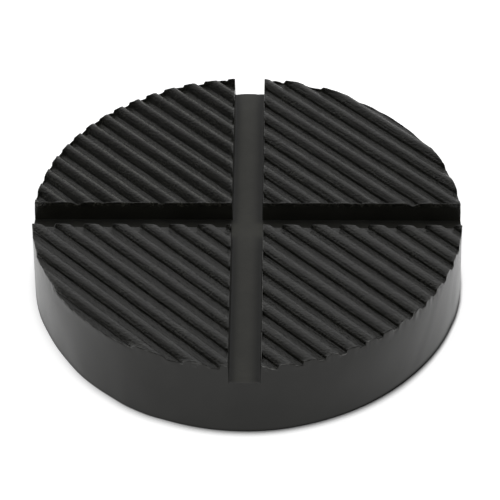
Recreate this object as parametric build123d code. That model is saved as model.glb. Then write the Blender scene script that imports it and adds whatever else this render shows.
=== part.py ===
from build123d import *
import math
import os

# Round rubber pad that lies on the saddle of a floor jack.
# It is moulded as one piece: a drafted disc with ribs across its top,
# and two slots that cross at its centre and take the lower seam of a car's sill.
# Millimetres, +Z up. The origin is the centre of the flat base.

# Disc
BASE_DIAMETER = 125.0      # across the foot of the wall
HEIGHT = 25.0              # base to rib crests
WALL_DRAFT = 1.3           # degrees, the wall leans in towards the top
RIM_BREAK = 0.3            # broken edge round the top
BASE_BREAK = 0.4           # broken edge round the base

# Ribs, all parallel and diagonal to the slots, the middle line of one through the disc's centre
RIB_TURN = -45.0           # degrees from +X, the way the ribs run
RIB_PITCH = 5.8            # from rib to rib
RIB_HEIGHT = 1.6           # groove floor to crest
STEEP_TOP = 1.15           # from a rib's middle line to the top of its side towards -X and -Y
STEEP_SIDE = 0.67          # width of that side in plan
LEVEL_TOP = 0.2            # from the middle line to where the crest begins to fall
CREST_FALL = 0.3           # how far it falls towards the other, gentler side
GENTLE_TOP = 1.35          # from the middle line to the top of the gentler side
GENTLE_SIDE = 0.85         # width of that side in plan
SHOULDER_RADIUS = 1.6      # where the crest turns down into the steep side
CREST_RADIUS = 0.4         # where it turns down into the gentler side
FOOT_RADIUS = 0.3

# Slots, from rim to rim through the centre
LONG_SLOT_WIDTH = 9.0      # the slot along Y, at crest level
CROSS_SLOT_WIDTH = 9.0     # the slot along X, at crest level
SLOT_DEPTH = 6.5           # crest to slot floor
SLOT_DRAFT = 1.5           # degrees, each wall of a slot leans out
SLOT_RADIUS = 0.5          # where a slot's floor meets its walls

# How far a cutting or trimming shape runs past the disc
PAST = 3.0


def disc():
    """The drafted disc, taller than the pad so that the ribs set the top."""
    foot = BASE_DIAMETER / 2
    wall_height = HEIGHT - BASE_BREAK - RIM_BREAK
    rim = foot - wall_height * math.tan(math.radians(WALL_DRAFT))
    outline = Polyline(
        (0, 0),
        (foot - BASE_BREAK, 0),
        (foot, BASE_BREAK),
        (rim, HEIGHT - RIM_BREAK),
        (rim - RIM_BREAK - PAST, HEIGHT + PAST),
        (0, HEIGHT + PAST),
        close=True,
    )
    return revolve(Plane.XZ * make_face(outline), Axis.Z)


def rib_section():
    """One rib seen from its end, standing on the line y = 0, with its middle line at x = 0."""
    shoulder = (-STEEP_TOP, RIB_HEIGHT)
    edge = (GENTLE_TOP, RIB_HEIGHT - CREST_FALL)
    outline = Polyline(
        (-STEEP_TOP - STEEP_SIDE, 0),
        shoulder,
        (LEVEL_TOP, RIB_HEIGHT),
        edge,
        (GENTLE_TOP + GENTLE_SIDE, 0),
        close=True,
    )
    rib = make_face(outline)
    rib = fillet(rib.vertices().sort_by_distance(shoulder)[0], SHOULDER_RADIUS)
    return fillet(rib.vertices().sort_by_distance(edge)[0], CREST_RADIUS)


def ribbed_block():
    """A block wider than the disc, whose top carries every rib."""
    reach = BASE_DIAMETER / 2 + PAST
    floor = HEIGHT - RIB_HEIGHT
    outermost = math.floor(reach / RIB_PITCH)
    section = Pos(0, floor / 2) * Rectangle(2 * (reach + RIB_PITCH), floor)
    rib = rib_section()
    for number in range(-outermost, outermost + 1):
        section += Pos(number * RIB_PITCH, floor) * rib
    feet = section.vertices().filter_by_position(Axis.Y, floor - 0.01, floor + 0.01)
    feet = feet.sort_by(Axis.X)[1:-1]
    section = fillet(feet, FOOT_RADIUS)
    across = Vector(1, 0, 0).rotate(Axis.Z, RIB_TURN + 90)
    end_on = Plane(origin=(0, 0, 0), x_dir=across, z_dir=across.cross(Vector(0, 0, 1)))
    return extrude(end_on * section, amount=reach, both=True)


def slot(width, side_on):
    """The space of one slot, drafted and with rounded floor corners."""
    lean = math.tan(math.radians(SLOT_DRAFT))
    floor_half = width / 2 - SLOT_DEPTH * lean
    top_half = width / 2 + PAST * lean
    outline = Polyline(
        (-floor_half, HEIGHT - SLOT_DEPTH),
        (floor_half, HEIGHT - SLOT_DEPTH),
        (top_half, HEIGHT + PAST),
        (-top_half, HEIGHT + PAST),
        close=True,
    )
    section = make_face(outline)
    section = fillet(section.vertices().group_by(Axis.Y)[0], SLOT_RADIUS)
    return extrude(side_on * section, amount=BASE_DIAMETER / 2 + PAST, both=True)


def jack_pad():
    pad = disc() & ribbed_block()
    pad -= slot(LONG_SLOT_WIDTH, Plane.XZ)
    pad -= slot(CROSS_SLOT_WIDTH, Plane.YZ)
    return pad


os.makedirs("parts", exist_ok=True)
export_step(jack_pad(), "parts/jack_pad.step")
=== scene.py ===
import math

import bmesh
import bpy
import numpy as np
from mathutils import Matrix, Vector


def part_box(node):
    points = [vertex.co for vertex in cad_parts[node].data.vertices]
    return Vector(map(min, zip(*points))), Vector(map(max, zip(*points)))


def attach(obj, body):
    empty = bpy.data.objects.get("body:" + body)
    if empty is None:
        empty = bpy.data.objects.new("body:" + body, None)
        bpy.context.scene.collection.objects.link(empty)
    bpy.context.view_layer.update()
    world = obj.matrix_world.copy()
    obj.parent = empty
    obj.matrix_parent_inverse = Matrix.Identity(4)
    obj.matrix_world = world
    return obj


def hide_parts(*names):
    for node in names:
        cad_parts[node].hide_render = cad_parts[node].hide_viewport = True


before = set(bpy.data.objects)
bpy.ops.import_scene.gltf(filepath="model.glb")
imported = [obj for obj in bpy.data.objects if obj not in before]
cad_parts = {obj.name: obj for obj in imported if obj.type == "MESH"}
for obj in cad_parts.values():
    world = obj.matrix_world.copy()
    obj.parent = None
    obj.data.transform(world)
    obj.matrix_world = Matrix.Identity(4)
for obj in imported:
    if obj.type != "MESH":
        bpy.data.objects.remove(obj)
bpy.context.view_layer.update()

# Sizes of the pad are in millimetres, and turn to metres when its mesh is made
MM = 0.001
low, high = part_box("jack_pad")
BASE_RADIUS = (high.x - low.x) / 2 / MM
HEIGHT = high.z / MM
WALL_LEAN = math.tan(math.radians(1.3))
BASE_BREAK = 0.4           # height of the rounding at the foot of the wall

RIB_PITCH = 5.8
RIB_HEIGHT = 1.6
GROOVE_Z = HEIGHT - RIB_HEIGHT

SLOT_HALF = 4.5
SLOT_DEPTH = 6.5
SLOT_LEAN = math.tan(math.radians(1.5))
SLOT_RADIUS = 0.15         # where a slot's floor meets its walls
SLOT_Z = HEIGHT - SLOT_DEPTH

EDGE_ROUND = 0.2           # worn edge where the top meets the wall and the slots
SMALLEST = 1e-4            # points nearer than this are one point
SAME = 1e-6                # lengths that differ by less than this are the same
DIAGONAL = math.sqrt(0.5)


def wall_radius(z):
    """Radius of the drafted wall at a height."""
    return BASE_RADIUS - np.maximum(z - BASE_BREAK, 0) * WALL_LEAN


def slot_half(z):
    """Half the width of a slot at a height."""
    return SLOT_HALF - (HEIGHT - z) * SLOT_LEAN


RIM = float(wall_radius(HEIGHT))
INNER = SLOT_HALF / DIAGONAL               # from the centre to where two slots' edges cross
# Across the ribs from the centre to the corners where a slot leaves the rim, the near and the far one
OUTER_LOW = (math.sqrt(2 * RIM**2 - INNER**2) - INNER) / 2
OUTER_HIGH = OUTER_LOW + INNER


# Smooth noise, the same in each run
LINE_CELLS = 1024
PLANE_CELLS = 128


def eased(t):
    """A share from 0 to 1 that starts and ends gently."""
    return t * t * (3 - 2 * t)


def fade(x, start, end):
    """0 before start and 1 past end, with a smooth rise between."""
    return eased(np.clip((np.asarray(x, float) - start) / (end - start), 0, 1))


def between(table, place):
    """The value at a place between the entries of a table that repeats."""
    cell = np.floor(place)
    part = eased(place - cell)
    cell = cell.astype(int) % len(table)
    return table[cell] * (1 - part) + table[(cell + 1) % len(table)] * part


def wander(x, step, seed):
    """Smooth noise from -1 to 1 along a line, with a new value at every step."""
    table = np.random.default_rng(seed).uniform(-1, 1, LINE_CELLS)
    return between(table, np.asarray(x, float) / step)


def circling(angle, cells, seed):
    """Smooth noise from -1 to 1 round the pad, by the angle in degrees."""
    table = np.random.default_rng(seed).uniform(-1, 1, cells)
    return between(table, (np.asarray(angle, float) % 360) * cells / 360)


def patches(x, y, step, seed):
    """Smooth noise from -1 to 1 over a plane."""
    table = np.random.default_rng(seed).uniform(-1, 1, (PLANE_CELLS, PLANE_CELLS))
    across = np.asarray(x, float) / step
    along = np.asarray(y, float) / step
    i = np.floor(across).astype(int)
    j = np.floor(along).astype(int)
    a = eased(across - i)
    b = eased(along - j)
    i, next_i = i % PLANE_CELLS, (i + 1) % PLANE_CELLS
    j, next_j = j % PLANE_CELLS, (j + 1) % PLANE_CELLS
    near = table[i, j] * (1 - a) + table[next_i, j] * a
    far = table[i, next_j] * (1 - a) + table[next_i, next_j] * a
    return near * (1 - b) + far * b


# The ribbed top as a height over the plan

# u runs across the ribs and v along them. The section of a rib is measured from its middle line, and
# differs a little in the front left, front right, back left and back right quarter.
ROUND_START = (-0.25, -0.5, 0.4, 0.12)     # where the crest begins to round off towards the steep side
ROUND_RATE = (0.5, 0.5, 0.45, 0.42)        # how fast it does
ROUND_SLOPE = (0.62, 0.57, 0.75, 0.68)     # the slope it comes to
ROUND_GROWTH = (0, 0, 0.24, 0)             # and how that grows
STEEP_FOOT = (-1.88, -2.02, -2.4, -1.86)
STEEP_SLOPE = (4.5, 4.5, 2.6, 3.2)
FALL_START = (0.1, 0.05, 0.42, 0.15)       # where the crest begins to fall towards the gentle side
FALL_SLOPE = (0.27, 0.2, 0.55, 0.38)       # the slope it comes to
GROOVE_RAISED = (0.2, 0.16, -0.25, 0.03)   # how much shallower the groove is
GROOVE_CURVE = (0.08, 0.13, 0, 0.04)       # how fast its floor curves up before the next foot
QUARTER_BLEND = 3.0        # to each side of the middle, where one quarter's section turns into the next

# What is the same in all quarters
FALL_RATE = 0.24           # how fast the crest begins to fall
GENTLE_FOOT = 2.22
GENTLE_SLOPE = 1.6
STEEP_REACH = 1.8          # how far before the next rib's middle line the groove ends
GROOVE_WIDTH = RIB_PITCH - STEEP_REACH - GENTLE_FOOT
GROOVE_RISE = 0.12         # how much higher a groove's floor is at the gentle side than at the steep one
FOOT_FILL = 0.06           # and what is added close to the gentle side
FILL_WIDTH = 0.8           # how wide that is
CURVE_START = 0.7          # how far from the gentle side the groove begins to curve up
SHOULDER_START = (0.05, 0.8)               # in from an edge of the top, where the rounding comes in
GENTLE_EASE = 0.04         # how softly the crest turns into the gentle side
STEEP_EASE = 0.06          # and the rounding into the steep side,
CREST_EASE = 0.05          # the crest into the rounding,
FOOT_EASE = 0.04           # and both sides into the groove

# How uneven that is along a rib: as a share or in millimetres, and the length of a wave
ROUND_WAVE = (0.16, 31)
FOOT_WAVE = (0.06, 27)
FALL_WAVE = (0.16, 23)
CREST_WAVE = (0.015, 9)


def lower_of(a, b, reach):
    """The lower of two heights, eased where they differ by less than the reach."""
    share = np.clip(0.5 + 0.5 * (b - a) / reach, 0, 1)
    return b + (a - b) * share - reach * share * (1 - share)


def rib_number(u):
    """The number of the nearest rib, counted from the one through the centre."""
    return np.round(u / RIB_PITCH)


def along_rib(v, number, apart, wave, seed):
    """Unevenness along a rib. Neighbouring ribs read the same noise, that far apart, so they differ."""
    size, length = wave
    return size * wander(v + apart * number, length, seed)


def by_quarter(x, y, values):
    """The value in a place, from the values of the four quarters."""
    front_left, front_right, back_left, back_right = values
    back = fade(y, -QUARTER_BLEND, QUARTER_BLEND)
    right = fade(x, -QUARTER_BLEND, QUARTER_BLEND)
    in_front = front_left + (front_right - front_left) * right
    behind = back_left + (back_right - back_left) * right
    return (1 - back) * in_front + back * behind


def rib_profile(x, y, inside):
    """Height of the ribs above the groove floor, inside being the distance in from an edge."""
    u = (x + y) * DIAGONAL
    v = (x - y) * DIAGONAL
    number = rib_number(u)
    across = u - number * RIB_PITCH
    most = by_quarter(x, y, ROUND_SLOPE) * (1 + along_rib(v, number, 131, ROUND_WAVE, seed=11))
    foot = by_quarter(x, y, STEEP_FOOT) + along_rib(v, number, 173, FOOT_WAVE, seed=12)
    falling = by_quarter(x, y, FALL_SLOPE) * (1 + along_rib(v, number, 97, FALL_WAVE, seed=13))
    top = RIB_HEIGHT * (1 - CREST_WAVE[0] + along_rib(v, number, 7, CREST_WAVE, seed=5))
    past_start = np.maximum(across - by_quarter(x, y, FALL_START), 0)
    turned = np.minimum(past_start, falling / FALL_RATE / 2)
    level = top - FALL_RATE * turned**2 - falling * (past_start - turned)
    rate = by_quarter(x, y, ROUND_RATE)
    past_start = np.maximum(by_quarter(x, y, ROUND_START) - across, 0)
    turned = np.minimum(past_start, most / rate / 2)
    straight = past_start - turned
    fall = rate * turned**2 + most * straight + by_quarter(x, y, ROUND_GROWTH) * straight**2
    shoulder = top - fall * fade(inside, *SHOULDER_START)
    steep = by_quarter(x, y, STEEP_SLOPE) * (across - foot)
    gentle = GENTLE_SLOPE * (GENTLE_FOOT - across)
    past = np.where(across > 0, across, across + RIB_PITCH) - GENTLE_FOOT
    fill = FOOT_FILL * np.maximum(1 - past / FILL_WIDTH, 0) * (across > 0)
    curve = by_quarter(x, y, GROOVE_CURVE) * np.maximum(past - CURVE_START, 0) ** 2
    groove = GROOVE_RISE * (1 - past / GROOVE_WIDTH) + fill + by_quarter(x, y, GROOVE_RAISED) + curve
    crest = lower_of(level, gentle, GENTLE_EASE)
    height = lower_of(crest, lower_of(shoulder, steep, STEEP_EASE), CREST_EASE)
    return -lower_of(-height, -groove, FOOT_EASE)


def edge_drop(inside):
    """How far the worn edge lies below the surface, by the distance in from it."""
    d = EDGE_ROUND - np.clip(inside, 0, EDGE_ROUND)
    return EDGE_ROUND - np.sqrt(EDGE_ROUND**2 - d**2)


# Flash along some edges: how thick it is, how high above the groove floor, and how uneven
NO_FLASH = -5.0            # a height below every surface
FLASH_WORN = 0.4           # how much it is rounded, as a share of the worn edge
FAR_THICK = 0.3            # along the cross slot's far edge
FAR_HIGH = RIB_HEIGHT - 0.05
FAR_UNEVEN = 0.12
# Where that one is torn: place along X, half the width, depth
FAR_NOTCHES = (
    (-49.2, 2.0, 1.0), (-42.0, 0.7, 0.4), (-25.0, 1.3, 0.9), (-30.6, 0.8, 0.3),
    (29.9, 1.6, 0.35), (33.0, 0.7, 0.25), (47.9, 2.1, 1.1), (26.3, 0.6, 0.3),
)
SIDE_THICK = 0.24          # along the long slot's right edge
SIDE_HIGH = 1.1
SIDE_UNEVEN = 0.45
SIDE_HIGHEST = RIB_HEIGHT - 0.1
RIM_THICK = 0.28           # along the back of the rim
RIM_HIGH = 0.75
RIM_UNEVEN = 0.5
RIM_HIGHEST = 1.3
RIM_FROM = (5, 40)         # in degrees, where it rises on the right
RIM_TO = (150, 178)        # where it dies away on the left
RIM_FULL = (55, 95)        # and where it comes from the lesser height of the right to its full one
RIM_RIGHT = 0.35           # that lesser height, as a share


def flash_height(x, y, to_long, to_cross, to_rim):
    """Flash that the mould left along some edges, as a height above the groove floor."""
    far_top = FAR_HIGH - FAR_UNEVEN * np.abs(wander(x, step=2.3, seed=21))
    for place, half, deep in FAR_NOTCHES:
        far_top = far_top - deep * (1 - fade(np.abs(x - place), 0, half))
    far = np.where((y > 0) & (to_cross < FAR_THICK), far_top, NO_FLASH)
    side_top = np.clip(SIDE_HIGH + SIDE_UNEVEN * wander(y, step=5, seed=23), 0, SIDE_HIGHEST)
    side = np.where((x > 0) & (to_long < SIDE_THICK), side_top, NO_FLASH)
    around = np.degrees(np.arctan2(y, x))
    back = fade(around, *RIM_FROM) * fade(-around, -RIM_TO[1], -RIM_TO[0])
    back = back * (RIM_RIGHT + (1 - RIM_RIGHT) * fade(around, *RIM_FULL))
    uneven = RIM_HIGH + RIM_UNEVEN * circling(around, cells=170, seed=24)
    rim_top = np.clip(back * uneven, 0, RIM_HIGHEST)
    rim = np.where((to_rim < RIM_THICK) & (rim_top > 0), rim_top, NO_FLASH)
    return np.maximum(np.maximum(far, side), rim)


def top_z(x, y):
    """Height of the top surface, with its ribs, its worn edges and its flash."""
    to_long = np.abs(x) - SLOT_HALF
    to_cross = np.abs(y) - SLOT_HALF
    to_rim = RIM - np.hypot(x, y)
    inside = np.maximum(np.minimum(np.minimum(to_long, to_cross), to_rim), 0)
    ribs = rib_profile(x, y, inside) - edge_drop(inside)
    flash = flash_height(x, y, to_long, to_cross, to_rim) - FLASH_WORN * edge_drop(inside)
    return np.minimum(GROOVE_Z + np.maximum(ribs, flash), HEIGHT)


# Where the top is sampled

# Distances in from an edge of the top
INSETS = np.array([0.0, 0.04, 0.1, 0.17, 0.25, 0.36, 0.6, 1.0])
SLOT_INSETS = INSETS / DIAGONAL
# Places across one rib, from the middle of its crest: its foot, steep side, crest, gentle side and groove
ACROSS_RIB = np.array([
    -2.45, -2.28, -2.16, -2.05, -1.94, -1.84, -1.75, -1.62, -1.47, -1.3, -1.1, -0.9, -0.65, -0.35,
    0.0, 0.3, 0.6, 0.95, 1.25, 1.36, 1.44,
    1.75, 2.04, 2.14, 2.3, 2.6,
])
LINES_APART = 0.04         # the least distance of such a line from one that a corner of the top needs
STRIP_SHARE = 0.45         # the most of a line that the points near the edge take up at one end
SIDE_MIDDLE = 27           # points between those strips, in the front right and back left quarters
END_MIDDLE = 34            # and in the other two
TIP_STEP = math.radians(1.0)               # between the lines near the tip of those, round the rim
TIP_LINES = 17


def lines_across(first, last, exact):
    """Places across the ribs of the lines that sample the top, dense where the section turns."""
    numbers = np.arange(math.floor(first / RIB_PITCH) - 1, math.ceil(last / RIB_PITCH) + 2)
    places = (numbers[:, None] * RIB_PITCH + ACROSS_RIB[None, :]).ravel()
    nearest = np.abs(places[:, None] - np.array(exact)[None, :]).min(axis=1)
    places = places[(places > first) & (places < last) & (nearest > LINES_APART)]
    return np.sort(np.concatenate([places, exact]))


def spread(start, end, insets, middle):
    """Places along a line, dense in the edge strips at both ends, each given by its insets."""
    room = STRIP_SHARE * (end - start)
    a, b = (strip * min(1, room / strip[-1]) for strip in insets)
    inner = np.linspace(start + a[-1], end - b[-1], middle + 2)[1:-1]
    return np.concatenate([start + a, inner, (end - b)[::-1]])


def rim_insets(u):
    """The insets measured along a line across the disc, from where it meets the rim."""
    edge = math.sqrt(max(RIM**2 - u**2, 0))
    deep = np.maximum((RIM - INSETS) ** 2 - u**2, 0)
    return np.maximum(edge - np.sqrt(deep), INSETS)


def side_quadrant(turn):
    """Lines of a quadrant whose ribs run out from the slots to the rim, each as its place and its points.

    turn is 1 for the front right quadrant and -1 for the back left one."""
    rows = []
    for u in lines_across(-OUTER_LOW, OUTER_LOW, [-OUTER_LOW, 0.0, OUTER_LOW]):
        start = INNER + abs(u)
        end = max(math.sqrt(RIM**2 - u**2), start)
        rows.append((u, turn * spread(start, end, (SLOT_INSETS, rim_insets(u)), SIDE_MIDDLE)))
    return rows


def end_quadrant(turn):
    """Lines of a quadrant whose ribs run from slot to slot, and further out from rim to rim.

    turn is 1 for the back right quadrant and -1 for the front left one."""
    tips = RIM * np.cos(np.arange(0, TIP_LINES) * TIP_STEP)
    exact = turn * np.concatenate([[INNER, OUTER_HIGH], tips])
    rows = []
    for u in lines_across(min(turn * INNER, turn * RIM), max(turn * INNER, turn * RIM), exact):
        away = abs(u)
        if away <= OUTER_HIGH:
            reach = away - INNER
            insets = SLOT_INSETS
        else:
            reach = math.sqrt(max(RIM**2 - away**2, 0))
            insets = rim_insets(away)
        rows.append((u, spread(-reach, reach, (insets, insets), END_MIDDLE)))
    return rows


# The walls below the top, the slots' floor and the base

WALL_SHARES = (0.06, 0.16, 0.32, 0.52, 0.76)   # levels of a wall as shares of the way down to its foot
FOOT_ANGLES = (0, 30, 60, 90)              # and round the radius there
FOOT_Z = SLOT_Z + SLOT_RADIUS
FLOOR_HALF = float(slot_half(FOOT_Z)) - SLOT_RADIUS
FLOOR_STEPS = 10           # across the slots' floor
ARM_POINTS = 60            # along each of its arms
# Levels of the wall below the slots' floor, closer together near its foot
LOWER_LEVELS = np.concatenate([
    np.linspace(SLOT_Z, 1.6, 8),
    [0.9, BASE_BREAK + 0.1, BASE_BREAK, 0.22, 0.08, 0.0],
])
BASE_INSIDE = BASE_RADIUS - 1.5            # radius of the outermost ring of points on the base
BASE_RINGS = (BASE_INSIDE, 48, 32, 16, 0)  # radii of all of them
BASE_SIDES = 144           # points round each of them


def edge_kind(x, y):
    """Which edge of the top a boundary point lies on: the long slot's, the cross slot's or the rim."""
    to_long = abs(abs(x) - SLOT_HALF)
    to_cross = abs(abs(y) - SLOT_HALF)
    to_rim = abs(RIM - math.hypot(x, y))
    return ["long", "cross", "rim"][int(np.argmin([to_long, to_cross, to_rim]))]


def lowered(x, y, kind, half, radius):
    """Where a boundary point of the top lies at a lower level, given a slot's half width and the wall's
    radius there."""
    sx = 1 if x > 0 else -1
    sy = 1 if y > 0 else -1
    ax = abs(x)
    ay = abs(y)
    if kind == "rim":
        corner = math.asin(SLOT_HALF / RIM)
        share = (math.atan2(ay, ax) - corner) / (math.pi / 2 - 2 * corner)
        below = math.asin(half / radius)
        angle = below + share * (math.pi / 2 - 2 * below)
        return sx * radius * math.cos(angle), sy * radius * math.sin(angle)
    full = math.sqrt(RIM**2 - SLOT_HALF**2) - SLOT_HALF
    along = ay if kind == "long" else ax
    share = (along - SLOT_HALF) / full
    reach = half + share * (math.sqrt(radius**2 - half**2) - half)
    if kind == "long":
        return sx * half, sy * reach
    return sx * reach, sy * half


class Shell:
    """Collects the points and faces of one mesh."""

    def __init__(self):
        self.points = []
        self.faces = []

    def add(self, rows):
        """Adds a grid of points, given as rows of triples, and returns their numbers."""
        rows = np.asarray(rows, float)
        first = len(self.points)
        self.points += rows.reshape(-1, 3).tolist()
        return np.arange(first, len(self.points)).reshape(rows.shape[:-1])

    def grid(self, numbers):
        """Faces between the neighbouring points of a grid."""
        a, b = numbers[:-1, :-1], numbers[1:, :-1]
        c, d = numbers[1:, 1:], numbers[:-1, 1:]
        self.faces += np.stack([a, b, c, d], -1).reshape(-1, 4).tolist()

    def shares(self, row):
        """How far along a row of points each of them is, from 0 to 1."""
        steps = np.linalg.norm(np.diff(np.array([self.points[n] for n in row]), axis=0), axis=1)
        total = np.concatenate([[0], np.cumsum(steps)])
        return total / total[-1]

    def join(self, one, other):
        """A strip of triangles between two rows of points with different spacing."""
        s = self.shares(one)
        t = self.shares(other)
        i = 0
        j = 0
        while i < len(one) - 1 or j < len(other) - 1:
            if j == len(other) - 1 or (i < len(one) - 1 and s[i + 1] <= t[j + 1]):
                self.faces.append([int(one[i]), int(one[i + 1]), int(other[j])])
                i += 1
            else:
                self.faces.append([int(one[i]), int(other[j + 1]), int(other[j])])
                j += 1


def build_quadrant(shell, rows):
    """The top of one quadrant and the walls down to the slots' floor. Returns the points at their foot."""
    width = len(rows[0][1])
    u = np.array([row[0] for row in rows])[:, None] * np.ones(width)
    v = np.array([row[1] for row in rows])
    x = (u + v) * DIAGONAL
    y = (u - v) * DIAGONAL
    z = top_z(x, y)
    shell.grid(shell.add(np.stack([x, y, z], -1)))
    bottom = []
    for column in (0, -1):
        edge = list(zip(x[:, column], y[:, column], z[:, column]))
        kinds = [edge_kind(px, py) for px, py, pz in edge]
        levels = [edge]
        for share in WALL_SHARES:
            level = []
            for (px, py, pz), kind in zip(edge, kinds):
                at = pz + (FOOT_Z - pz) * share
                level.append((*lowered(px, py, kind, slot_half(at), wall_radius(at)), at))
            levels.append(level)
        for angle in FOOT_ANGLES:
            at = FOOT_Z - SLOT_RADIUS * math.sin(math.radians(angle))
            half = slot_half(FOOT_Z) - SLOT_RADIUS * (1 - math.cos(math.radians(angle)))
            levels.append([
                (*lowered(px, py, kind, half, wall_radius(at)), at)
                for (px, py, pz), kind in zip(edge, kinds)
            ])
        shell.grid(shell.add(levels))
        bottom += levels[-1]
    return bottom


def on_line(points, across, value, along, sign):
    """Points on one edge of a slot's floor, in order outwards. across and along are numbers of axes."""
    chosen = {}
    for p in points:
        if abs(p[across] - value) < SAME and p[along] * sign > 0:
            chosen[round(abs(p[along]), 5)] = p
    return [chosen[key] for key in sorted(chosen)]


def build_floor(shell, points):
    """Floor of the crossed slots: a square in the middle and an arm each way. Returns the arms' ends."""
    steps = np.linspace(-FLOOR_HALF, FLOOR_HALF, FLOOR_STEPS + 1)
    gx, gy = np.meshgrid(steps, steps, indexing="ij")
    shell.grid(shell.add(np.stack([gx, gy, np.full_like(gx, SLOT_Z)], -1)))
    radius = float(wall_radius(SLOT_Z))
    arcs = []
    for axis in (0, 1):
        for sign in (1, -1):
            rows = np.full((FLOOR_STEPS + 1, ARM_POINTS, 3), SLOT_Z)
            for row, across in zip(rows, steps):
                end = math.sqrt(radius**2 - across**2)
                row[:, axis] = sign * np.linspace(FLOOR_HALF, end, ARM_POINTS)
                row[:, 1 - axis] = across
            numbers = shell.add(rows)
            shell.grid(numbers[1:-1])
            arcs += [tuple(row[-1]) for row in rows]
            for beside, side in ((1, -1), (-2, 1)):
                edge = on_line(points, 1 - axis, side * FLOOR_HALF, axis, sign)
                shell.join(shell.add(edge), numbers[beside])
    return arcs


def ring_points(radius, angles, z):
    """Points round the middle at a height."""
    return np.stack([radius * np.cos(angles), radius * np.sin(angles), np.full_like(angles, z)], -1)


def build_lower(shell, points):
    """Wall below the slots' floor, and the flat base."""
    radius = float(wall_radius(SLOT_Z))
    ring = set()
    for px, py, pz in points:
        if abs(math.hypot(px, py) - radius) < SAME and abs(pz - SLOT_Z) < SAME:
            ring.add(round(math.atan2(py, px), 7))
    angles = np.array(sorted(ring))
    angles = angles[np.concatenate([[True], np.diff(angles) > SMALLEST / radius])]
    angles = np.append(angles, angles[0] + 2 * math.pi)
    levels = []
    for z in LOWER_LEVELS:
        inwards = max(BASE_BREAK - z, 0) ** 2 / BASE_BREAK
        levels.append(ring_points(float(wall_radius(z)) - inwards, angles, z))
    wall = shell.add(levels)
    shell.grid(wall)
    coarse = np.linspace(angles[0], angles[-1], BASE_SIDES + 1)
    base = shell.add([ring_points(r, coarse, 0) for r in BASE_RINGS])
    shell.join(wall[-1], base[0])
    shell.grid(base)


# How far the surface strays from its even form

SHIFT_SHORT = (0.05, 7)    # how far the ribs wander to the side, and the length of a wave
SHIFT_LONG = (0.04, 19)
SHIFT_FULL = 0.8           # how far in from an edge of the top they do so in full
SHIFT_ABOVE = GROOVE_Z - 1                 # the lowest height that moves with them
WALL_WAVE = 0.05           # how far the wall waves in and out round the pad
WALL_RIPPLE = 0.03
WAVE_LEAN = 0.8            # by how many degrees that wave leans for each millimetre of height
RIPPLE_LEAN = -0.5
SLOT_END = 0.15            # how ragged the far end of the long slot's floor is
SLOT_END_HALF = SLOT_HALF - 0.3            # half the width in which it is so
RIM_RAGGED = 0.1           # and the wall's upper edge, from a little below the grooves
RIM_RAGGED_FINE = 0.05
RAGGED_BELOW = 1.2         # how far below them it begins
ON_WALL = (1.6, 0.7)       # in from the foot, between where a point belongs to the top and to the wall
WALL_FOOT = (0.3, 2.5)     # heights between which the wall's waves come in
# Where the foot of the wall bulges out or in: angle in degrees, half the width, how far out
FOOT_BULGES = ((-151, 14, -0.3), (-119, 9, 0.3), (-57, 34, -0.36), (-13, 8, 0.2))
BULGE_FULL = 0.3           # share of that half width in which it is in full
BULGE_TOP = (4, 20)        # heights between which it dies away
ON_FOOT = (1.7, 0.8)       # in from the foot, between where a point belongs to the base and to the wall
FLOOR_WAVE = 0.04          # how uneven the slots' floor is
FLOOR_RIPPLE = 0.02
FLOOR_NEAR = 0.2           # what counts as their floor, above and below it
IN_BOX = 1e-3              # how far inside the solid's box the widest points stay


def weather(points):
    """Moves the points a little, so that the ribs, the wall, the rim and the slots' floor are uneven."""
    x, y, z = points.T.copy()
    inside = np.minimum(np.minimum(np.abs(x), np.abs(y)) - SLOT_HALF, RIM - np.hypot(x, y))
    v = (x - y) * DIAGONAL
    number = rib_number((x + y) * DIAGONAL)
    shift = along_rib(v, number, 13, SHIFT_SHORT, seed=3) + along_rib(v, number, -29, SHIFT_LONG, seed=4)
    shift = shift * fade(inside, 0, SHIFT_FULL) * (z > SHIFT_ABOVE)
    x = x + shift * DIAGONAL
    y = y + shift * DIAGONAL
    r = np.hypot(x, y)
    around = np.degrees(np.arctan2(y, x))
    on_wall = fade(r, BASE_RADIUS - ON_WALL[0], BASE_RADIUS - ON_WALL[1]) * fade(z, *WALL_FOOT)
    at_end = (y > 0) & (np.abs(x) < SLOT_END_HALF)
    wave = WALL_WAVE * circling(around + WAVE_LEAN * z, cells=40, seed=31)
    wave = wave + SLOT_END * wander(x, step=1.3, seed=37) * at_end
    wave = wave + WALL_RIPPLE * circling(around + RIPPLE_LEAN * z, cells=110, seed=32)
    ragged = RIM_RAGGED * circling(around, cells=277, seed=33)
    ragged = ragged + RIM_RAGGED_FINE * circling(around, cells=691, seed=36)
    ragged = ragged * fade(z, GROOVE_Z - RAGGED_BELOW, GROOVE_Z)
    bulge = 0
    for angle, half, out in FOOT_BULGES:
        bulge = bulge + out * (1 - fade(np.abs(around - angle), BULGE_FULL * half, half))
    bulge = bulge * (1 - fade(z, *BULGE_TOP))
    bulge = bulge * fade(r, BASE_RADIUS - ON_FOOT[0], BASE_RADIUS - ON_FOOT[1])
    push = on_wall * (wave + ragged) + bulge
    x = x + push * x / np.maximum(r, 1)
    y = y + push * y / np.maximum(r, 1)
    in_floor = (z < SLOT_Z + FLOOR_NEAR) & (z > SLOT_Z - FLOOR_NEAR) & (r < BASE_INSIDE)
    uneven = z + FLOOR_WAVE * patches(x, y, step=6, seed=34)
    uneven = uneven + FLOOR_RIPPLE * patches(x, y, step=1.7, seed=35)
    z = np.where(in_floor, uneven, z)
    limit = BASE_RADIUS - IN_BOX
    return np.stack([np.clip(x, -limit, limit), np.clip(y, -limit, limit), np.clip(z, 0, HEIGHT)], -1)


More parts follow.
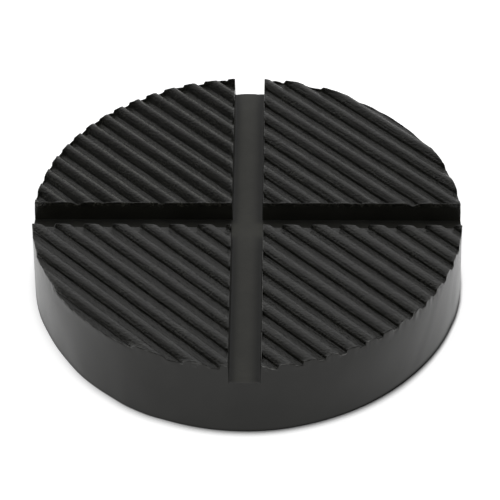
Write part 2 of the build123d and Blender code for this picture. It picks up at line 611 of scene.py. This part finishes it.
# Which points count as the top, the slots' floor and the base
TOP_ABOVE = GROOVE_Z - 0.4
TOP_BESIDE = SLOT_HALF - 0.1               # the nearest to a slot's middle line
TOP_WITHIN = RIM - 0.05                    # the furthest from the centre, for the slots' floor too
FLOOR_WITHIN = FLOOR_HALF + 0.05           # the furthest from a slot's middle line
FLOOR_LEVEL = 0.1                          # the furthest above and below its height
BASE_BELOW = 0.05
SHARP = math.radians(55)                   # the least angle between faces that shows as a sharp edge

# Roughness of the rubber where it was moulded against each face of the mould
TOP_FINISH = 0.25
WALL_FINISH = 0.19
FLOOR_FINISH = 0.5
BASE_FINISH = 0.5

# How much of the edge of the top is frayed pale, partly a painted highlight: round the rim by quarter, and
# along the long slot
FRAYED_HIGHLIGHT_BACK_RIGHT = 0.15
FRAYED_HIGHLIGHT_FRONT_RIGHT = 0.9
FRAYED_HIGHLIGHT_FRONT_LEFT = 1.0
FRAYED_HIGHLIGHT_BACK_LEFT = 0.7
FRAYED_HIGHLIGHT_LESS = 0.6          # how much less of it is, near the long slot in the front left quarter
FRAYED_HIGHLIGHT_LESS_FROM = (-50, -20)              # places along X between which it comes to that
FRAYED_HIGHLIGHT_SLOT = 0.6          # on the right edge, in front
FRAYED_HIGHLIGHT_SLOT_ELSEWHERE = 0.1
FRAYED_HIGHLIGHT_WIDTH = (0.08, 0.2)                 # in from the edge, where it ends
FRAYED_HIGHLIGHT_DEPTH = (0.12, 0.35)                # and below the top
FRAYED_HIGHLIGHT_DOWN = -0.1                         # the furthest past a slot's edge, for its leaning walls
FRAYED_HIGHLIGHT_RANGE = (-0.6, 0.8)                 # levels of the noise round the rim that are whole and torn
FRAYED_HIGHLIGHT_SLOT_RANGE = (-0.7, 0.5)            # and of the noise along the slot
FRAYED_HIGHLIGHT_FINE = 0.6          # share of finer noise in the one round the rim

# By how many times the rubber is made paler. Close to the slots' walls the floor stays dark, as painted
# shade.
FLOOR_PALER = 3.8           # the long slot's floor, away from its walls
CROSS_PALER = 2.2           # and the cross slot's
PAINTED_SHADE_WITHIN = 0.2           # how far from a wall the painted shade is full and the paleness begins
PAINTED_SHADE_TO = 2.6            # and where the painted shade has faded and the paleness is in full,
PAINTED_SHADE_TO_RIGHT = 3.6      # where the painted shade reaches further out from the long slot's right wall
CREST_PALER = 1.5           # what is added on the crests of the back quarters
GROOVE_PALER = 0.45         # and in their grooves
RIGHT_PALER = 0.3           # how much of that the back right one has
CREST_BAND = (0.2, 0.9)    # across a rib from its middle line, where the paleness on its crest comes in
CREST_END = (1.3, 1.6)     # and ends
GROOVE_BAND = (2.0, 2.3)   # to either side of it, where the dust in the groove comes in
BACK_BAND = (0, 4)         # along Y, where both come in


def how_frayed_highlight(x, y, z):
    """How pale the edge of the top is, from 0 to 1: frayed rubber, and partly a painted highlight along
    the edge.
    """
    to_slots = np.minimum(np.abs(x), np.abs(y)) - SLOT_HALF
    to_rim = RIM - np.hypot(x, y)
    near = 1 - fade(np.minimum(to_slots, to_rim), *FRAYED_HIGHLIGHT_WIDTH)
    near = near * (1 - fade(np.abs(top_z(x, y) - z), *FRAYED_HIGHLIGHT_DEPTH)) * (to_slots > FRAYED_HIGHLIGHT_DOWN)
    around = np.degrees(np.arctan2(y, x))
    share = np.full_like(x, FRAYED_HIGHLIGHT_BACK_RIGHT)
    share = np.where((y < 0) & (x > 0), FRAYED_HIGHLIGHT_FRONT_RIGHT, share)
    front_left = FRAYED_HIGHLIGHT_FRONT_LEFT * (1 - FRAYED_HIGHLIGHT_LESS * fade(x, *FRAYED_HIGHLIGHT_LESS_FROM))
    share = np.where((y < 0) & (x < 0), front_left, share)
    share = np.where((y > 0) & (x < 0), FRAYED_HIGHLIGHT_BACK_LEFT, share)
    torn = circling(around, cells=229, seed=41) + FRAYED_HIGHLIGHT_FINE * circling(around, cells=510, seed=42)
    torn = fade(torn, *FRAYED_HIGHLIGHT_RANGE)
    slot_share = np.where((x > 0) & (y < -SLOT_HALF), FRAYED_HIGHLIGHT_SLOT, FRAYED_HIGHLIGHT_SLOT_ELSEWHERE)
    slot_share = slot_share * fade(wander(y, step=1.7, seed=43), *FRAYED_HIGHLIGHT_SLOT_RANGE)
    slot_share = np.where(np.abs(x) < np.abs(y), slot_share, 0)
    # The pale edge is frayed rubber and partly a painted highlight along the edge
    return near * np.where(to_rim < to_slots, share * torn, slot_share)


def paleness_with_painted_shade(x, y, on_top, on_floor):
    """By how many times the rubber is made paler, with painted shade close to the slots' walls."""
    from_side = SLOT_HALF - np.minimum(np.abs(x), np.abs(y))
    full = np.where((x > 0) & (np.abs(x) < np.abs(y)), PAINTED_SHADE_TO_RIGHT, PAINTED_SHADE_TO)
    most = np.where((np.abs(y) < SLOT_HALF) & (np.abs(x) > SLOT_HALF), CROSS_PALER, FLOOR_PALER)
    # Paler away from the slots' walls; the dark band close to them is painted shade
    paler_with_painted_shade = np.where(on_floor, 1 + (most - 1) * fade(from_side, PAINTED_SHADE_WITHIN, full), 1)
    across = (x + y) * DIAGONAL
    across = across - RIB_PITCH * rib_number(across)
    on_crest = fade(across, *CREST_BAND) * (1 - fade(across, *CREST_END)) * on_top * fade(y, *BACK_BAND)
    in_groove = fade(np.abs(across), *GROOVE_BAND) * on_top * fade(y, *BACK_BAND)
    return paler_with_painted_shade + np.where(x < 0, 1.0, RIGHT_PALER) * (CREST_PALER * on_crest + GROOVE_PALER * in_groove)


def mark(mesh, name, values):
    """Gives each point of the mesh a number for the material to read."""
    attribute = mesh.attributes.new(name, "FLOAT", "POINT")
    attribute.data.foreach_set("value", values.astype(np.float32))


def mark_faces(mesh):
    """Marks where the mesh is ribbed, paler (with painted shade near the slots' walls), frayed with a
    painted highlight, smooth or rough.
    """
    place = np.empty(len(mesh.vertices) * 3, np.float32)
    mesh.vertices.foreach_get("co", place)
    x, y, z = place.reshape(-1, 3).T / MM
    from_middle = np.minimum(np.abs(x), np.abs(y))
    within = np.hypot(x, y) <= TOP_WITHIN
    on_top = (z > TOP_ABOVE) & (from_middle >= TOP_BESIDE) & within
    on_floor = (np.abs(z - SLOT_Z) < FLOOR_LEVEL) & (from_middle < FLOOR_WITHIN) & within
    finish = np.where(on_top, TOP_FINISH, np.where(on_floor, FLOOR_FINISH, WALL_FINISH))
    mark(mesh, "ribbed", on_top)
    # paleness, with painted shade near the slots' walls
    mark(mesh, "paler_with_painted_shade", paleness_with_painted_shade(x, y, on_top, on_floor))
    # frayed edges, partly a painted highlight
    mark(mesh, "frayed_highlight", how_frayed_highlight(x, y, z))
    mark(mesh, "finish", np.where(z < BASE_BELOW, BASE_FINISH, finish))


def make_pad():
    """The pad as one closed mesh."""
    shell = Shell()
    points = []
    for rows in (side_quadrant(1), side_quadrant(-1), end_quadrant(1), end_quadrant(-1)):
        points += build_quadrant(shell, rows)
    build_lower(shell, points + build_floor(shell, points))
    mesh = bpy.data.meshes.new("rubber_pad")
    mesh.from_pydata((weather(np.array(shell.points)) * MM).tolist(), [], shell.faces)
    work = bmesh.new()
    work.from_mesh(mesh)
    bmesh.ops.remove_doubles(work, verts=work.verts, dist=SMALLEST * MM)
    bmesh.ops.dissolve_degenerate(work, edges=work.edges, dist=SMALLEST * MM)
    bmesh.ops.recalc_face_normals(work, faces=work.faces)
    work.to_mesh(mesh)
    work.free()
    mark_faces(mesh)
    mesh.shade_smooth()
    mesh.set_sharp_from_angle(angle=SHARP)
    pad = bpy.data.objects.new("rubber_pad", mesh)
    bpy.context.scene.collection.objects.link(pad)
    return pad


# Shader nodes

def emptied(owner):
    """The node tree of a new material or world, emptied."""
    owner.use_nodes = True
    owner.node_tree.nodes.clear()
    return owner.node_tree


def node(tree, kind, **values):
    """Adds a shader node and sets its own values and its unlinked inputs."""
    made = tree.nodes.new(kind)
    for name, value in values.items():
        if hasattr(made, name):
            setattr(made, name, value)
        else:
            made.inputs[name.replace("_", " ")].default_value = value
    return made


def feed(tree, socket, value):
    """Gives a socket a plain value, or what another socket puts out."""
    if isinstance(value, bpy.types.NodeSocket):
        tree.links.new(value, socket)
    else:
        socket.default_value = value


def arithmetic(tree, operation, *inputs):
    """Adds a node that works out a number from sockets or plain numbers, and returns its result."""
    made = node(tree, "ShaderNodeMath", operation=operation)
    for place, value in enumerate(inputs):
        feed(tree, made.inputs[place], value)
    return made.outputs[0]


def ramp(tree, value, start, end, low, high):
    """Adds a node that goes from low to high as a value goes from start to end."""
    made = node(tree, "ShaderNodeMapRange", From_Min=start, From_Max=end, To_Min=low, To_Max=high)
    feed(tree, made.inputs["Value"], value)
    return made.outputs["Result"]


def ramp_between(tree, value, first, second):
    """A ramp between two pairs of a place and the level there."""
    return ramp(tree, value, first[0], second[0], first[1], second[1])


def mixed(tree, kind, factor, a, b):
    """Adds a node that goes from a to b as the factor goes from 0 to 1."""
    made = node(tree, "ShaderNodeMix", data_type=kind)
    feed(tree, made.inputs["Factor"], factor)
    feed(tree, made.inputs["A"], a)
    feed(tree, made.inputs["B"], b)
    return made.outputs["Result"]


def noise(tree, vector, scale, detail, roughness):
    """Adds a noise texture, and returns its level."""
    made = node(tree, "ShaderNodeTexNoise", Scale=scale, Detail=detail, Roughness=roughness)
    feed(tree, made.inputs["Vector"], vector)
    return made.outputs["Fac"]


def marked(tree, name):
    """Reads one of the mesh's marks."""
    return node(tree, "ShaderNodeAttribute", attribute_name=name).outputs["Fac"]


def how_far(tree, space, direction):
    """How far a point lies, or how much a ray points, in a direction."""
    where = node(tree, "ShaderNodeTexCoord")
    along = node(tree, "ShaderNodeVectorMath", operation="DOT_PRODUCT")
    feed(tree, along.inputs[0], where.outputs[space])
    feed(tree, along.inputs[1], direction)
    return along.outputs["Value"]


# The rubber's colour and grain. Scales of noise count its cells in a metre.
DARK = (0.0076, 0.0076, 0.0058, 1)
PALE = (0.0124, 0.0123, 0.01, 1)
MOTTLE_RANGE = (0.3, 0.75)                 # levels of the mottle that come out dark and pale
MOTTLE = 0.12              # how much it varies the roughness
POWDER_RANGE = (0.42, 0.58)                # levels of the powdery specks on the ribs
POWDER = (0.45, 1.55)                      # and how many times darker and paler those make the rubber
# pale colour of the frayed edges, partly a painted highlight
FRAYED_HIGHLIGHT_COLOUR = (0.17, 0.17, 0.162, 1)
STREAK = 4.5               # depth of the streaks along the ribs, against the grain elsewhere
STREAK_SHARE = 0.06        # how much more slowly they change along the ribs than across
SPECKLE = 6.5              # depth of the specks on the ribs
BUMP_STRENGTH = 0.35
BUMP_DEPTH = 0.0001        # metres


def rubber():
    """Black moulded rubber with a faint mottle, paler places with painted shade near the slots' walls,
    pale frayed edges that are partly a painted highlight, and streaks and specks on its ribs.
    """
    material = bpy.data.materials.new("black_rubber")
    tree = emptied(material)
    link = tree.links.new
    out = node(tree, "ShaderNodeOutputMaterial")
    shader = node(tree, "ShaderNodeBsdfPrincipled", IOR=1.5)
    link(shader.outputs["BSDF"], out.inputs["Surface"])
    where = node(tree, "ShaderNodeTexCoord").outputs["Object"]
    ribbed = marked(tree, "ribbed")
    mottle = noise(tree, where, scale=140.0, detail=5.0, roughness=0.6)
    colour = node(tree, "ShaderNodeValToRGB")
    for element, place, tone in zip(colour.color_ramp.elements, MOTTLE_RANGE, (DARK, PALE)):
        element.position = place
        element.color = tone
    link(mottle, colour.inputs["Fac"])
    powder = noise(tree, where, scale=1900.0, detail=1.0, roughness=0.5)
    powder = ramp(tree, powder, *POWDER_RANGE, *POWDER)
    powder = arithmetic(tree, "SUBTRACT", powder, 1.0)
    powder = arithmetic(tree, "MULTIPLY_ADD", powder, ribbed, 1.0)
    # The paler places, with painted shade close to the slots' walls
    paled = node(tree, "ShaderNodeVectorMath", operation="SCALE")
    link(colour.outputs["Color"], paled.inputs["Vector"])
    link(arithmetic(tree, "MULTIPLY", marked(tree, "paler_with_painted_shade"), powder), paled.inputs["Scale"])
    # Pale frayed edges, partly a painted highlight along them
    shade = mixed(tree, "RGBA", marked(tree, "frayed_highlight"), paled.outputs["Vector"], FRAYED_HIGHLIGHT_COLOUR)
    link(shade, shader.inputs["Base Color"])
    sheen = ramp(tree, mottle, 0.0, 1.0, -MOTTLE / 2, MOTTLE / 2)
    link(arithmetic(tree, "ADD", marked(tree, "finish"), sheen), shader.inputs["Roughness"])
    grain = noise(tree, where, scale=1800.0, detail=3.0, roughness=0.6)
    turned = node(tree, "ShaderNodeMapping", Rotation=(0, 0, math.radians(45)))
    link(where, turned.inputs["Vector"])
    drawn_out = node(tree, "ShaderNodeMapping", Scale=(STREAK_SHARE, 1, 1))
    link(turned.outputs["Vector"], drawn_out.inputs["Vector"])
    streaks = noise(tree, drawn_out.outputs["Vector"], scale=2000.0, detail=2.0, roughness=0.5)
    specks = noise(tree, where, scale=1700.0, detail=1.0, roughness=0.5)
    scuffed = arithmetic(tree, "MULTIPLY", streaks, STREAK)
    scuffed = arithmetic(tree, "MULTIPLY_ADD", specks, SPECKLE, scuffed)
    bump = node(tree, "ShaderNodeBump", Strength=BUMP_STRENGTH, Distance=BUMP_DEPTH)
    link(mixed(tree, "FLOAT", ribbed, grain, scuffed), bump.inputs["Height"])
    link(bump.outputs["Normal"], shader.inputs["Normal"])
    return material


# The white floor

# In metres. Pairs are a place and the level there, and a ramp runs from the first to the second.
FLOOR_RADIUS = 4.0
FLOOR_OPENING = BASE_INSIDE * MM
FLOOR_SIDES = 96
UNDER_PAD = 0.00002        # how far below the pad's base it lies, so that the two don't share a plane
FLOOR_COLOUR = 0.85
FLOOR_GLOW = 0.6           # added where the camera sees it, so that it is white
SHADOW_LEFT = (0.044, 0.0023)              # place along X, and how far out from the pad its shadow reaches
SHADOW_RIGHT = (0.061, 0.001)
SHADOW_SIDE = (0.6, -0.8, 0)               # where that shadow is strongest
SHADOW_START = (-0.0075, 0.35)             # place towards there, and how strong it is
SHADOW_END = (0.055, 1.9)
MIRRORED_SHADOW = 0.0012                   # how far out it reaches in what the rubber mirrors
MIRRORED_LEFT = (0.02, 1.1)                # place along X, and how strong that one is
MIRRORED_RIGHT = (0.05, 2.4)
MIRRORED_FRONT = (-0.07, 0.07)             # place along Y, and what is added to the floor that it mirrors
MIRRORED_BACK = (-0.035, 0.32)


def floor_material():
    """White, with the pad's shadow close round it. The rubber mirrors it dimmer in front of the pad."""
    material = bpy.data.materials.new("white_floor")
    tree = emptied(material)
    link = tree.links.new
    out = node(tree, "ShaderNodeOutputMaterial")
    matt = node(tree, "ShaderNodeBsdfDiffuse")
    glow = node(tree, "ShaderNodeEmission")
    both = node(tree, "ShaderNodeAddShader")
    link(matt.outputs["BSDF"], both.inputs[0])
    link(glow.outputs["Emission"], both.inputs[1])
    link(both.outputs["Shader"], out.inputs["Surface"])
    path = node(tree, "ShaderNodeLightPath").outputs
    seen = path["Is Camera Ray"]
    mirrored = arithmetic(tree, "MAXIMUM", path["Is Glossy Ray"], path["Is Transmission Ray"])
    rightwards = how_far(tree, "Object", (1, 0, 0))
    backwards = how_far(tree, "Object", (0, 1, 0))
    to_dark_side = how_far(tree, "Object", SHADOW_SIDE)
    further = (SHADOW_LEFT[1] - MIRRORED_SHADOW, SHADOW_RIGHT[1] - MIRRORED_SHADOW)
    reach = ramp(tree, rightwards, SHADOW_LEFT[0], SHADOW_RIGHT[0], *further)
    reach = arithmetic(tree, "MULTIPLY_ADD", seen, reach, MIRRORED_SHADOW)
    near_pad = node(tree, "ShaderNodeAmbientOcclusion", samples=8)
    link(reach, near_pad.inputs["Distance"])
    hidden = arithmetic(tree, "SUBTRACT", 1.0, near_pad.outputs["AO"])
    to_eye = ramp_between(tree, to_dark_side, SHADOW_START, SHADOW_END)
    in_rubber = ramp_between(tree, rightwards, MIRRORED_LEFT, MIRRORED_RIGHT)
    strength = arithmetic(tree, "SUBTRACT", to_eye, in_rubber)
    strength = arithmetic(tree, "MULTIPLY_ADD", seen, strength, in_rubber)
    shadow = arithmetic(tree, "MINIMUM", arithmetic(tree, "MULTIPLY", hidden, strength), 1.0)
    lit = arithmetic(tree, "SUBTRACT", 1.0, shadow)
    link(arithmetic(tree, "MULTIPLY", FLOOR_COLOUR, lit), matt.inputs["Color"])
    shown = arithmetic(tree, "MULTIPLY", arithmetic(tree, "MULTIPLY", seen, lit), FLOOR_GLOW)
    added = ramp_between(tree, backwards, MIRRORED_FRONT, MIRRORED_BACK)
    in_mirror = arithmetic(tree, "MULTIPLY", mirrored, lit)
    link(arithmetic(tree, "MULTIPLY_ADD", in_mirror, added, shown), glow.inputs["Strength"])
    return material


def make_floor():
    """A white floor that keeps the pad's shadow, open under the pad so that its base shows from below."""
    mesh = bpy.data.meshes.new("floor")
    places = []
    for radius in (FLOOR_OPENING, FLOOR_RADIUS):
        for number in range(FLOOR_SIDES):
            angle = 2 * math.pi * number / FLOOR_SIDES
            places.append((radius * math.cos(angle), radius * math.sin(angle), -UNDER_PAD))
    faces = []
    for number in range(FLOOR_SIDES):
        after = (number + 1) % FLOOR_SIDES
        faces.append((number, number + FLOOR_SIDES, after + FLOOR_SIDES, after))
    mesh.from_pydata(places, [], faces)
    mesh.materials.append(floor_material())
    floor = bpy.data.objects.new("floor", mesh)
    bpy.context.scene.collection.objects.link(floor)


# The white room

# Soft light all round, and what the rubber mirrors, dim in front and bright behind and above. Pairs are
# how much a ray points in a direction and the level there.
SOFT_LIGHT = 0.8
ROOM_RISE = math.radians(29)               # the direction in which it grows brighter, above +Y
ROOM_START = (0.28, 0.055)
ROOM_END = (0.82, 0.7)
LOW_START = (0.1, 1.4)                     # upwards, and by how many times it is brighter low down
LOW_END = (0.5, 1)
BELOW_START = (-0.1, 0)                    # upwards, and how much of the room is seen
BELOW_END = (0, 1)
ROOM_BELOW = 0.25          # level where a ray points below the floor, for views from underneath


def make_room():
    """A white room all round, in which the light and what is mirrored have levels of their own."""
    world = bpy.data.worlds.new("studio")
    bpy.context.scene.world = world
    tree = emptied(world)
    out = node(tree, "ShaderNodeOutputWorld")
    back = node(tree, "ShaderNodeBackground", Color=(1, 1, 1, 1))
    tree.links.new(back.outputs["Background"], out.inputs["Surface"])
    path = node(tree, "ShaderNodeLightPath").outputs
    rising = how_far(tree, "Generated", (0, math.cos(ROOM_RISE), math.sin(ROOM_RISE)))
    upwards = how_far(tree, "Generated", (0, 0, 1))
    level = ramp_between(tree, rising, ROOM_START, ROOM_END)
    level = arithmetic(tree, "MULTIPLY", level, ramp_between(tree, upwards, LOW_START, LOW_END))
    level = arithmetic(tree, "SUBTRACT", level, ROOM_BELOW)
    above = ramp_between(tree, upwards, BELOW_START, BELOW_END)
    level = arithmetic(tree, "MULTIPLY_ADD", level, above, ROOM_BELOW)
    level = mixed(tree, "FLOAT", path["Is Camera Ray"], level, 1.0)
    level = mixed(tree, "FLOAT", path["Is Diffuse Ray"], level, SOFT_LIGHT)
    tree.links.new(level, back.inputs["Strength"])


# Camera, from the photograph's outline, slots and ribs
CAMERA_TURN = math.radians(0.970)
CAMERA_RISE = math.radians(42.824)
CAMERA_ROLL = math.radians(-0.427)
CAMERA_DISTANCE = 742.746
CAMERA_SIDE = 0.719
CAMERA_UP = -1.387
FOCAL_PIXELS = 2546.682
PHOTO_PIXELS = 500
SENSOR = 36.0


def make_camera():
    """The photograph's viewpoint."""
    back = Vector((
        math.sin(CAMERA_TURN) * math.cos(CAMERA_RISE),
        -math.cos(CAMERA_TURN) * math.cos(CAMERA_RISE),
        math.sin(CAMERA_RISE),
    ))
    level = Vector((math.cos(CAMERA_TURN), math.sin(CAMERA_TURN), 0))
    up = back.cross(level)
    right = level * math.cos(CAMERA_ROLL) + up * math.sin(CAMERA_ROLL)
    top = up * math.cos(CAMERA_ROLL) - level * math.sin(CAMERA_ROLL)
    place = Vector((0, 0, HEIGHT / 2)) + back * CAMERA_DISTANCE
    place = (place + right * CAMERA_SIDE + top * CAMERA_UP) * MM
    data = bpy.data.cameras.new("camera")
    data.sensor_width = SENSOR
    data.lens = FOCAL_PIXELS * SENSOR / PHOTO_PIXELS
    data.clip_start = 0.01
    data.clip_end = 20
    camera = bpy.data.objects.new("camera", data)
    bpy.context.scene.collection.objects.link(camera)
    camera.matrix_world = Matrix((
        (right.x, top.x, back.x, place.x),
        (right.y, top.y, back.y, place.y),
        (right.z, top.z, back.z, place.z),
        (0, 0, 0, 1),
    ))
    bpy.context.scene.camera = camera


make_camera()
make_floor()
make_room()
pad = make_pad()
pad.data.materials.append(rubber())
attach(pad, "root")
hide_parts("jack_pad")

bpy.context.scene.view_settings.view_transform = "Standard"
